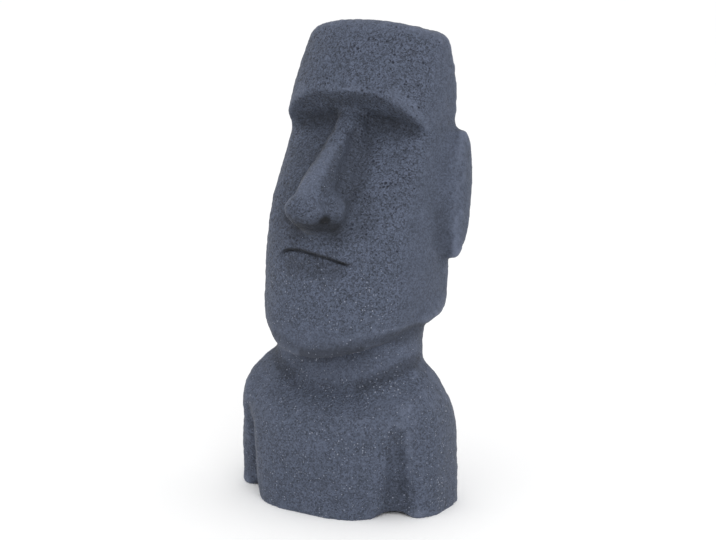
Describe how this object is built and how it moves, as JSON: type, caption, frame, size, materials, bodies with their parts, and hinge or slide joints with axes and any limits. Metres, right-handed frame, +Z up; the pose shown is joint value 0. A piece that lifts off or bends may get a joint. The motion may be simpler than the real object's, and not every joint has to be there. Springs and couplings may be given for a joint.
{
  "type": "moai statue",
  "caption": "Upright moai head with heavy brow, long nose, long ears and closed mouth, on a neck and cut-off shoulders with a flat underside; a garden ornament that stands by its own weight.",
  "frame": {"origin": "on the flat underside, below the middle of the neck", "axes": "+Z up, the face looks along -Y, +X is the statue's left side"},
  "size_m": [0.27, 0.1995, 0.5588],
  "materials": {
    "cast_stone": "matte blue-grey cast stone, finely pitted on the face, with pale grit"
  },
  "bodies": {
    "root": {"moai_statue": "cast_stone"}
  },
  "joints": []
}
